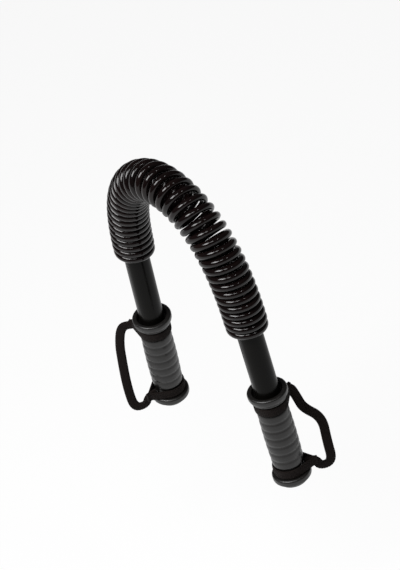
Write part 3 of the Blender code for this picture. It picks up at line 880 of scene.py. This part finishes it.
def eye_route(height, towards):
    """One layer of webbing from the seam round the neck and back, its two ends laid together."""
    radius = GRIP_NECK_D / 2 + EYE_GAP + EYE_LAYER / 2
    tip = radius / math.cos(EYE_OPENS)
    angles = np.linspace(EYE_OPENS, 2 * math.pi - EYE_OPENS, EYE_STEPS)
    ring = np.stack([radius * np.cos(angles), radius * np.sin(angles)], axis=1)
    tail = [(tip + beyond, EYE_LAYER / 2 * apart) for beyond, apart in EYE_TAIL]
    flat = np.concatenate([tail, ring, [(x, -y) for x, y in tail[::-1]]])
    cosine, sine = math.cos(towards), math.sin(towards)
    turned_flat = flat @ np.array([[cosine, sine], [-sine, cosine]])
    points = np.column_stack([turned_flat, np.full(len(flat), height)])
    steps = np.linalg.norm(np.diff(points, axis=0), axis=1)
    lengths = np.concatenate([[0.0], np.cumsum(steps)])
    at = np.linspace(0.0, lengths[-1], ROUTE_STEPS)
    even = np.stack([np.interp(at, lengths, points[:, axis]) for axis in range(3)], axis=1)
    return even, np.tile([[0.0, 0.0, 1.0]], (ROUTE_STEPS, 1))


def wave(tree, distance, period):
    """A sine along a distance."""
    angle = multiplied(tree, distance, 2 * math.pi / period)
    return add_node(tree, "ShaderNodeMath", {"operation": "SINE"}, i0=angle).outputs[0]


def webbing():
    """Dark brown-black woven webbing: ribs across, threads along, a little fuzz and pale lint."""
    material, tree, shader = principled("webbing", (0.020, 0.013, 0.011), 0.85)
    shader.inputs["Sheen Weight"].default_value = 0.05
    shader.inputs["Sheen Roughness"].default_value = 0.5
    shader.inputs["Specular IOR Level"].default_value = 0.15
    along = add_node(tree, "ShaderNodeUVMap", {"uv_map": "along"}).outputs[0]
    parts = add_node(tree, "ShaderNodeSeparateXYZ", Vector=along)
    weave = multiplied(
        tree, wave(tree, parts.outputs[1], STRAP_THREAD), wave(tree, parts.outputs[0], STRAP_RIB)
    )
    place = object_place(tree)
    lint = noise(tree, place, 1500.0, 3.0)
    fade = noise(tree, place, 60.0, 3.0)
    woven_share = remap(tree, weave, -1.0, 1.0, 0.0, 1.0)
    colour = mixed(tree, woven_share, (0.0015, 0.001, 0.0009), (0.018, 0.0108, 0.0088))
    faded = mixed(tree, remap(tree, fade, 0.4, 0.7, 0.0, 0.5), colour, (0.009, 0.006, 0.0052))
    linty = mixed(tree, remap(tree, lint, 0.66, 0.78, 0.0, 0.4), faded, (0.035, 0.03, 0.027))
    tree.links.new(linty, shader.inputs["Base Color"])
    fibres = bump(tree, lint, 0.00008)
    tree.links.new(bump(tree, weave, 0.0002, normal=fibres), shader.inputs["Normal"])
    return material


woven = webbing()


def sew(name, stitches):
    """Short rounded stitches, each a small ball drawn out along its thread."""
    work_on(None)
    made = []
    for middle, along, size in stitches:
        bpy.ops.mesh.primitive_uv_sphere_add(segments=8, ring_count=6, radius=0.5, location=(0, 0, 0))
        stitch = bpy.context.object
        stitch.matrix_world = (
            Matrix.Translation(middle) @ along.to_track_quat("X", "Z").to_matrix().to_4x4()
            @ Matrix.Diagonal((*size, 1.0))
        )
        made.append(stitch)
    work_on(made[0])
    for stitch in made:
        stitch.select_set(True)
    bpy.ops.object.join()
    seam = bpy.context.object
    seam.name = seam.data.name = name
    bpy.ops.object.transform_apply(location=True, rotation=True, scale=True)
    return seam


def eye_stitches(height, towards):
    """Rows of stitching through the doubled webbing beyond an eye, on both of its faces."""
    out = Vector((math.cos(towards), math.sin(towards), 0.0))
    side = Vector((-math.sin(towards), math.cos(towards), 0.0))
    tip = (GRIP_NECK_D / 2 + EYE_GAP + EYE_LAYER / 2) / math.cos(EYE_OPENS)
    stitches = []
    for face in (-1, 1):
        for row in range(STITCH_ROWS):
            reach = tip - STITCH_ROW_BACK + STITCH_ROW_STEP * row
            for stitch in range(STITCHES):
                middle = out * reach + side * (face * (EYE_LAYER + STITCH_LIFT))
                middle.z = height + (stitch - (STITCHES - 1) / 2) * STITCH_STEP
                stitches.append((middle, Vector((0, 0, 1)), STITCH_SIZE))
    return stitches


def make_strap(side):
    """One strap with its two eyes and their stitching, all riding on the strap's body."""
    place = handle_frame(side)
    leaves = STRAP_LEAVES[side]
    arrives = leaves + STRAP_TURN[side]
    points, wide = strap_route(side)
    length = float(np.linalg.norm(np.diff(points, axis=0), axis=1).sum())
    band = ribbed_band(f"{side}_strap_band", length, STRAP_WIDTH, STRAP_THICK)
    lay(band, points, wide, length)
    pieces = [band]
    stitches = []
    for which, height, towards in (("upper", UPPER_EYE, leaves), ("lower", LOWER_EYE, arrives)):
        route, up = eye_route(height, towards)
        round_length = float(np.linalg.norm(np.diff(route, axis=0), axis=1).sum())
        eye = ribbed_band(f"{side}_strap_{which}_eye", round_length, STRAP_WIDTH, EYE_LAYER)
        lay(eye, route, up, round_length)
        pieces.append(eye)
        stitches += eye_stitches(height, towards)
    pieces.append(sew(f"{side}_strap_stitching", stitches))
    for piece in pieces:
        settle(piece, place, woven)
        smooth(piece, 70.0)
        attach(piece, f"{side}_strap")
    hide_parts(f"{side}_wrist_strap")


for side in ("right", "left"):
    make_strap(side)


# Floor and light
# A pale floor well below the bar, a large soft light above and to the left of the view, two weaker
# ones further to the right, and a faint even light all round.

FLOOR_Z = -0.42
FLOOR_SIZE = 60.0
FLOOR_COLOUR = (0.86, 0.86, 0.86, 1.0)
FLOOR_GLOW = 1.1
FLOOR_SHOWN = 0.8  # share of the glow that the camera, gloss and glass see
WORLD_LIGHT = 0.06
LOOKED_AT = Vector((-0.1, 0.0, 0.15))


def pale_floor():
    """Matt off-white that shows as the picture's white background and keeps soft shadows."""
    material = bpy.data.materials.new("pale floor")
    material.use_nodes = True
    tree = material.node_tree
    tree.nodes.clear()
    path = tree.nodes.new("ShaderNodeLightPath")
    seen = path.outputs["Is Camera Ray"]
    for kind in ("Is Glossy Ray", "Is Transmission Ray"):
        seen = add_node(
            tree, "ShaderNodeMath", {"operation": "MAXIMUM"}, i0=seen, i1=path.outputs[kind]
        ).outputs[0]
    share = multiplied(tree, seen, FLOOR_SHOWN)
    matt = add_node(tree, "ShaderNodeBsdfDiffuse", Color=FLOOR_COLOUR)
    glow = add_node(tree, "ShaderNodeEmission", Color=(1.0, 1.0, 1.0, 1.0), Strength=FLOOR_GLOW)
    blend = add_node(tree, "ShaderNodeMixShader", i0=share, i1=matt.outputs[0], i2=glow.outputs[0])
    add_node(tree, "ShaderNodeOutputMaterial", Surface=blend.outputs[0])
    return material


work_on(None)
bpy.ops.mesh.primitive_plane_add(size=FLOOR_SIZE, location=(0, 0, FLOOR_Z))
floor = bpy.context.object
floor.name = "floor"
bpy.ops.object.transform_apply(location=True, rotation=True, scale=True)
floor.data.materials.append(pale_floor())

world = bpy.data.worlds.new("studio")
world.use_nodes = True
world.node_tree.nodes["Background"].inputs["Color"].default_value = (1.0, 1.0, 1.0, 1.0)
world.node_tree.nodes["Background"].inputs["Strength"].default_value = WORLD_LIGHT
bpy.context.scene.world = world


def soft_light(name, away, width, height, power):
    """An area light that faces the bar from a point given away from it. Its power is in watts."""
    data = bpy.data.lights.new(name, "AREA")
    data.shape = "RECTANGLE"
    data.size = width
    data.size_y = height
    data.energy = power
    lamp = bpy.data.objects.new(name, data)
    lamp.location = LOOKED_AT + Vector(away)
    lamp.rotation_euler = (-Vector(away)).to_track_quat("-Z", "Y").to_euler()
    bpy.context.scene.collection.objects.link(lamp)


soft_light("key", (-0.02, -1.2, 1.6), 1.15, 0.75, 38.0)
soft_light("second", (0.75, -0.6, 1.76), 0.5, 0.35, 6.0)
soft_light("far", (1.04, 0.3, 1.68), 0.16, 0.2, 2.0)

bpy.context.scene.view_settings.view_transform = "Standard"
